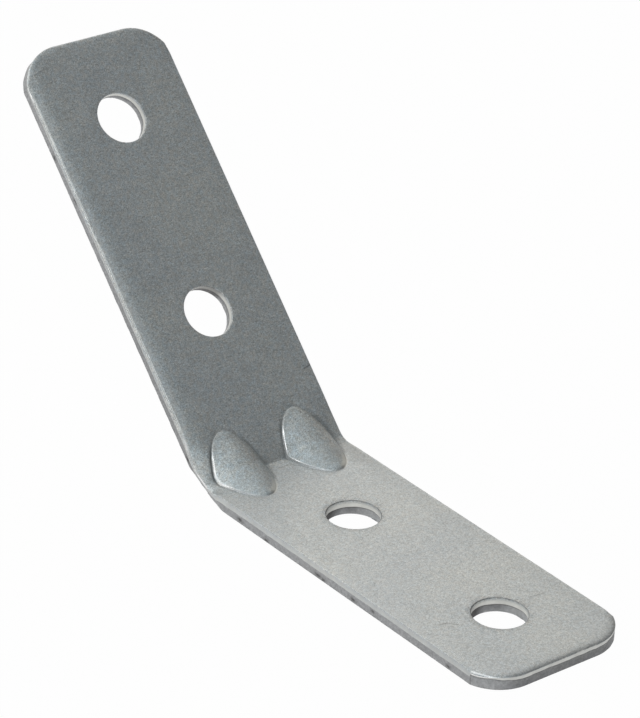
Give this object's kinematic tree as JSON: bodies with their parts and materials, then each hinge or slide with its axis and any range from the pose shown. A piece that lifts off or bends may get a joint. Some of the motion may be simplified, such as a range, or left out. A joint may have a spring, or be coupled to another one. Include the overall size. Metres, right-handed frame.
{
  "type": "angled strut connector",
  "caption": "Steel strip folded to an obtuse angle, with bolt holes along both legs and pressed ribs that stiffen the fold, for joining strut channel at 45 degrees",
  "frame": {"origin": "on the short leg's seating face, midway between its two holes and in the middle of its width", "axes": "+X across the strip, +Y from the short leg towards the fold, +Z out of the short leg's inner face; the long leg rises 45 degrees towards +Y and +Z"},
  "size_m": [0.04, 0.1796, 0.0809],
  "materials": {
    "zinc_plated_steel": "satin zinc plate over slit and punched strip, finely mottled, with torn grey cut edges"
  },
  "bodies": {
    "root": {"angled_strap": "zinc_plated_steel"}
  },
  "joints": []
}
